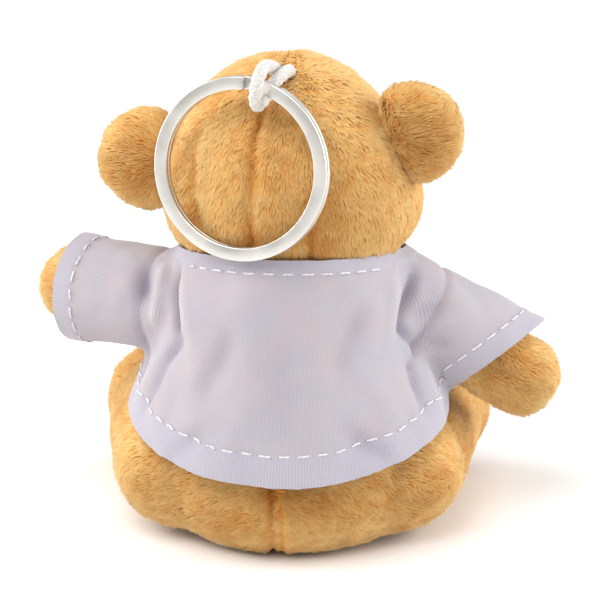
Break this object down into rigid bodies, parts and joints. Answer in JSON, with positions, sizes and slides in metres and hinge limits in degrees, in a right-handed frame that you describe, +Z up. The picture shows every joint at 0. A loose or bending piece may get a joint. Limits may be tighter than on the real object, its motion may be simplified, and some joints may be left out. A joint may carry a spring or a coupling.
{
  "type": "plush keychain",
  "caption": "Seated plush teddy bear in a T-shirt, with a flat split ring on a short cotton loop sewn to its head; head, arms, legs, loop and ring move.",
  "frame": {"origin": "on the surface the bear sits on, under the middle of its body", "axes": "+Z up out of the seat; the bear faces -Y; its left side is towards +X"},
  "size_m": [0.088, 0.0629, 0.0839],
  "materials": {
    "plush": "short golden plush pile",
    "pale_plush": "short cream plush pile",
    "stuffing": "white polyester fibre",
    "jersey": "thin white cotton jersey, vertical knit ribs",
    "white_thread": "white sewing thread",
    "black_thread": "black embroidery thread",
    "eye_plastic": "polished black",
    "washer_plastic": "natural white, moulded",
    "cotton_cord": "soft white woven cotton",
    "ring_steel": "nickel-plated flat wire, satin faces"
  },
  "bodies": {
    "torso": {"torso_skin_left": "plush", "torso_skin_right": "plush", "torso_stuffing": "stuffing", "shirt_back": "jersey", "shirt_front": "jersey", "neck_stitches": "white_thread", "hem_stitches": "white_thread"},
    "head": {"head_skin_left": "plush", "head_skin_right": "plush", "head_stuffing": "stuffing", "muzzle": "pale_plush", "nose": "black_thread", "mouth_stitches": "black_thread", "eye_left": "eye_plastic", "eye_right": "eye_plastic", "eye_washers": "washer_plastic", "ear_left_back": "plush", "ear_left_front": "pale_plush", "ear_right_back": "plush", "ear_right_front": "pale_plush", "cord_tails": "cotton_cord"},
    "arm_left": {"arm_left_skin": "plush", "arm_left_stuffing": "stuffing", "sleeve_left": "jersey", "cuff_stitches_left": "white_thread"},
    "arm_right": {"arm_right_skin": "plush", "arm_right_stuffing": "stuffing", "sleeve_right": "jersey", "cuff_stitches_right": "white_thread"},
    "leg_left": {"leg_left_skin": "plush", "leg_left_stuffing": "stuffing", "sole_left": "pale_plush"},
    "leg_right": {"leg_right_skin": "plush", "leg_right_stuffing": "stuffing", "sole_right": "pale_plush"},
    "cord_loop": {"cord_loop": "cotton_cord"},
    "key_ring": {"split_ring": "ring_steel"}
  },
  "joints": [
    {"name": "neck_turn", "type": "hinge", "parent": "torso", "child": "head", "pos_m": [0, -0.0012, 0.0459], "axis": [0, 0, 1], "range_deg": [-20, 20], "stiffness_Nm_per_rad": 0.03},
    {"name": "shoulder_left", "type": "hinge", "parent": "torso", "child": "arm_left", "pos_m": [0.0185, 0, 0.038], "axis": [0, -1, 0], "range_deg": [-20, 25], "stiffness_Nm_per_rad": 0.01},
    {"name": "shoulder_right", "type": "hinge", "parent": "torso", "child": "arm_right", "pos_m": [-0.0185, 0, 0.038], "axis": [0, 1, 0], "range_deg": [0, 40], "stiffness_Nm_per_rad": 0.01},
    {"name": "hip_left", "type": "hinge", "parent": "torso", "child": "leg_left", "pos_m": [0.0192, -0.003, 0.0115], "axis": [-1, 0, 0], "range_deg": [0, 15], "stiffness_Nm_per_rad": 0.05},
    {"name": "hip_right", "type": "hinge", "parent": "torso", "child": "leg_right", "pos_m": [-0.0192, -0.003, 0.0115], "axis": [-1, 0, 0], "range_deg": [0, 15], "stiffness_Nm_per_rad": 0.05},
    {"name": "loop_lift", "type": "hinge", "parent": "head", "child": "cord_loop", "pos_m": [0.0008, 0.0055, 0.0805], "axis": [0.9476, -0.3195, 0], "range_deg": [0, 115]},
    {"name": "ring_turn", "type": "hinge", "parent": "cord_loop", "child": "key_ring", "pos_m": [0.0068, 0.0175, 0.0659], "axis": [0.3231, 0.9385, 0.1219], "continuous": true}
  ]
}
